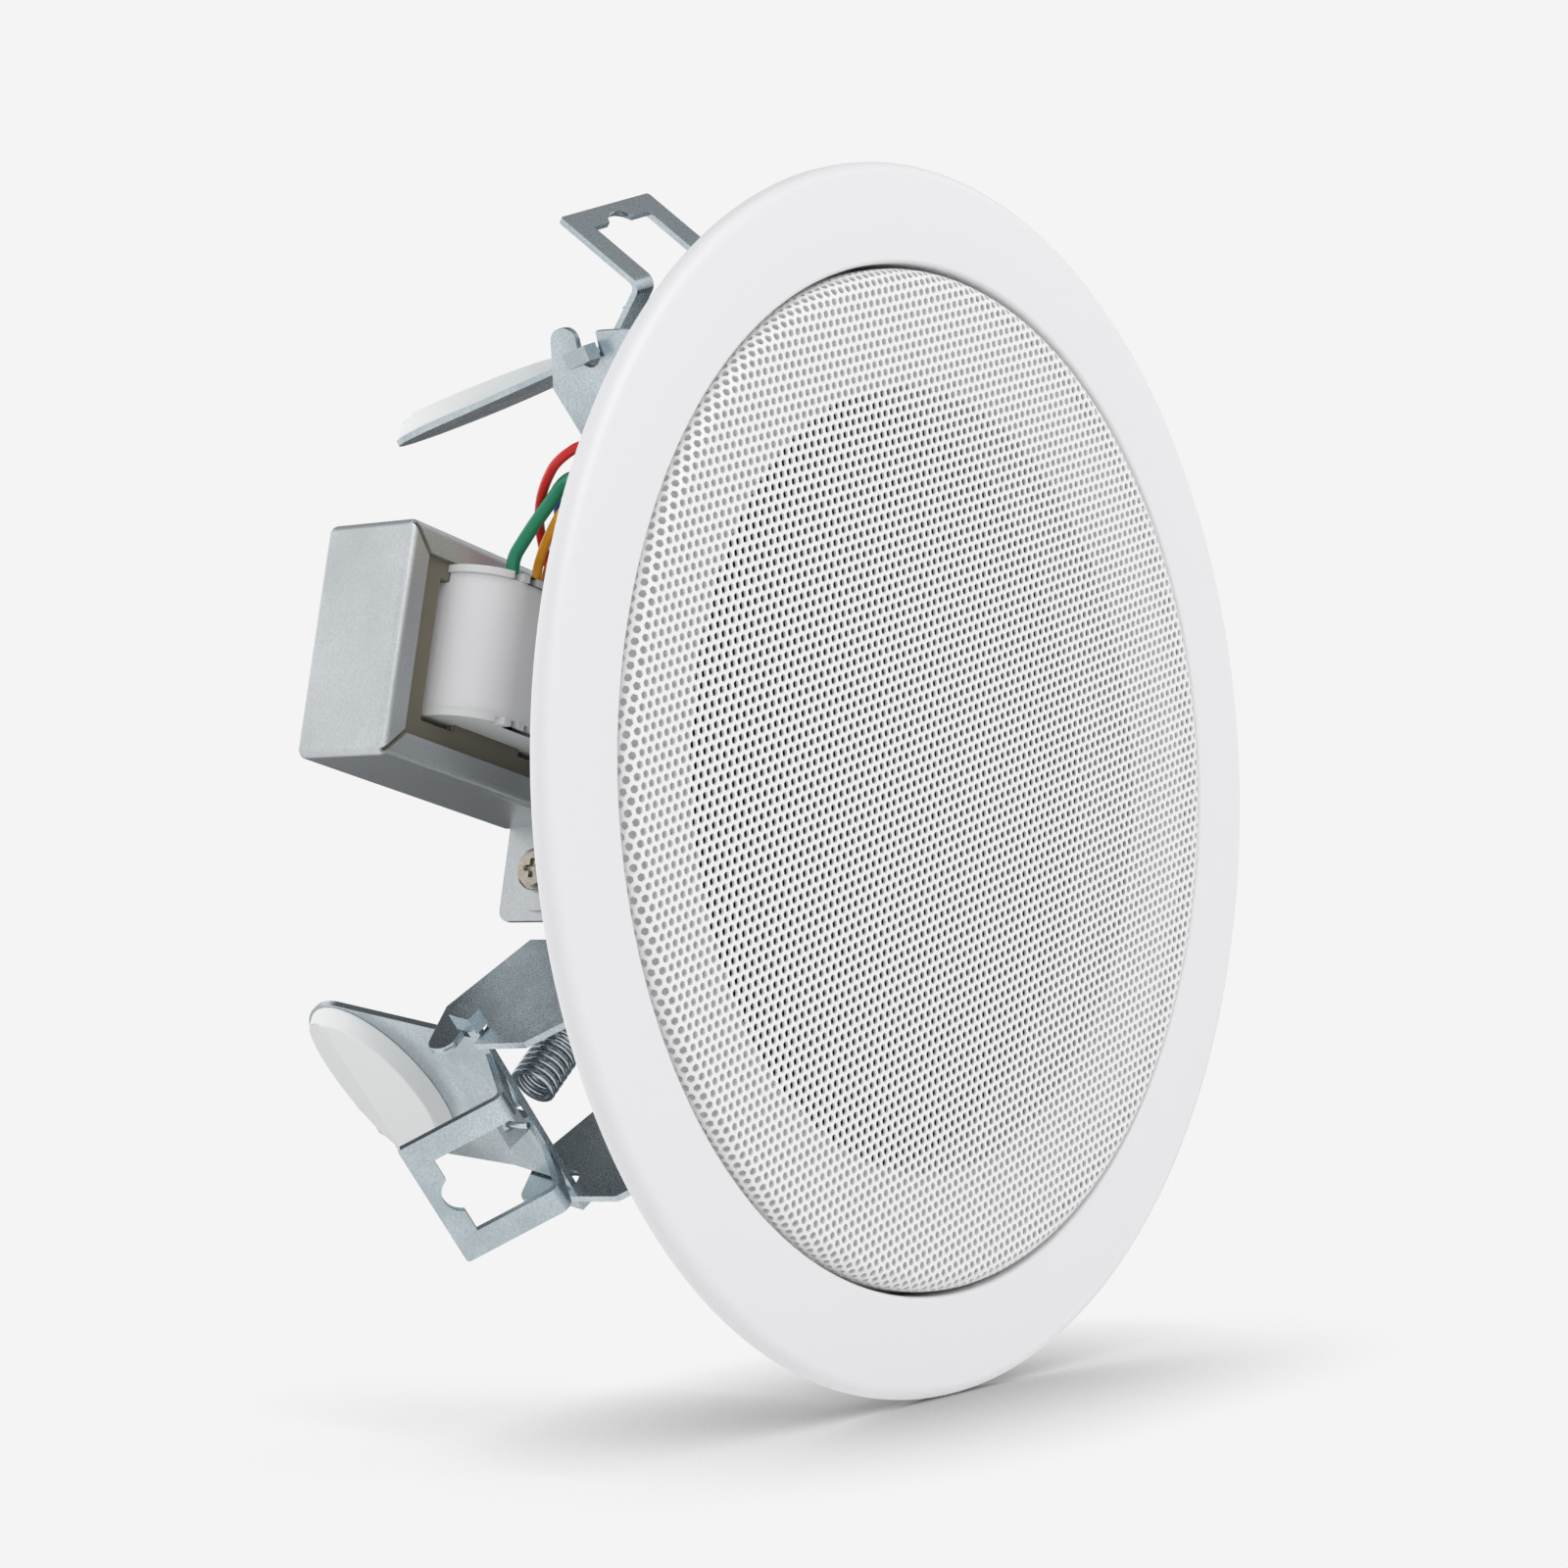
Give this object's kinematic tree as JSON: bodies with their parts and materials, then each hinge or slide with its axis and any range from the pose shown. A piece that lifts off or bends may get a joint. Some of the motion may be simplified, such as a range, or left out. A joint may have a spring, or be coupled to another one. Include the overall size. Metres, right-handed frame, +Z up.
{
  "type": "in-ceiling speaker",
  "caption": "Round in-ceiling loudspeaker with a white flanged bezel, perforated grille, line transformer and sprung clamp arms with pads that swing out over the ceiling board.",
  "frame": {"origin": "on the speaker's axis, in the rear face of the flange that seats on the ceiling", "axes": "-Y out of the grille into the room, +Y into the ceiling void, +Z up as pictured, +X to the right seen from the front"},
  "size_m": [0.2, 0.0938, 0.2],
  "materials": {
    "white_moulding": "satin",
    "white_grille": "satin",
    "black_foam": "matt",
    "black_steel": "satin",
    "grey_paper": "matt",
    "brown_film": "satin",
    "copper_wire": "satin",
    "yellow_cloth": "matt",
    "zinc_plate": "zinc plated",
    "ferrite": "matt",
    "nickel": "nickel plated",
    "galvanised": "galvanised",
    "core_steel": "varnished laminations",
    "nylon": "satin",
    "white_paper": "matt",
    "white_terminal": "satin",
    "brown_board": "satin",
    "brass_tag": "tinned",
    "spring_wire": "bright",
    "red_sleeve": "satin",
    "green_sleeve": "satin",
    "blue_sleeve": "satin",
    "yellow_sleeve": "satin"
  },
  "bodies": {
    "speaker": {"bezel": "white_moulding", "grille": "white_grille", "gasket": "black_foam", "basket": "galvanised", "surround": "black_foam", "spider": "yellow_cloth", "top_plate": "zinc_plate", "magnet": "ferrite", "yoke": "zinc_plate", "clamp_screws": "nickel", "plate_screws": "nickel", "transformer_screws": "nickel", "transformer_nuts": "nickel", "transformer_plate": "galvanised", "transformer_frame": "galvanised", "transformer_core": "core_steel", "bobbin": "nylon", "winding": "white_paper", "terminal_block": "white_terminal", "terminal_screws": "nickel", "tag_strip": "brown_board", "solder_tags": "brass_tag", "lead_red": "red_sleeve", "lead_green": "green_sleeve", "lead_blue": "blue_sleeve", "lead_yellow_1": "yellow_sleeve", "lead_yellow_2": "yellow_sleeve", "clamp_bracket_1": "zinc_plate", "clamp_spring_1": "spring_wire", "clamp_bracket_2": "zinc_plate", "clamp_spring_2": "spring_wire", "clamp_bracket_3": "zinc_plate", "clamp_spring_3": "spring_wire"},
    "cone_body": {"cone": "grey_paper", "dust_cap": "grey_paper", "voice_coil_former": "brown_film", "voice_coil": "copper_wire"},
    "clamp_1": {"clamp_arm_1": "zinc_plate", "clamp_pad_1": "nylon"},
    "clamp_2": {"clamp_arm_2": "zinc_plate", "clamp_pad_2": "nylon"},
    "clamp_3": {"clamp_arm_3": "zinc_plate", "clamp_pad_3": "nylon"}
  },
  "joints": [
    {"name": "clamp_1_swing", "type": "hinge", "parent": "speaker", "child": "clamp_1", "pos_m": [0.07479, 0.0371, -0.02215], "axis": [-0.284, 0, -0.9588], "range_deg": [0, 135], "deforming": ["clamp_spring_1"]},
    {"name": "clamp_2_swing", "type": "hinge", "parent": "speaker", "child": "clamp_2", "pos_m": [-0.0228, 0.0371, 0.07459], "axis": [0.9563, 0, 0.2924], "range_deg": [0, 135], "deforming": ["clamp_spring_2"]},
    {"name": "clamp_3_swing", "type": "hinge", "parent": "speaker", "child": "clamp_3", "pos_m": [-0.05975, 0.0371, -0.05014], "axis": [-0.6428, 0, 0.766], "range_deg": [0, 135], "deforming": ["clamp_spring_3"]},
    {"name": "cone_travel", "type": "slide", "parent": "speaker", "child": "cone_body", "axis": [0, 1, 0], "range_m": [-0.0025, 0.0025], "stiffness_N_per_m": 1500, "deforming": ["surround", "spider"]}
  ]
}
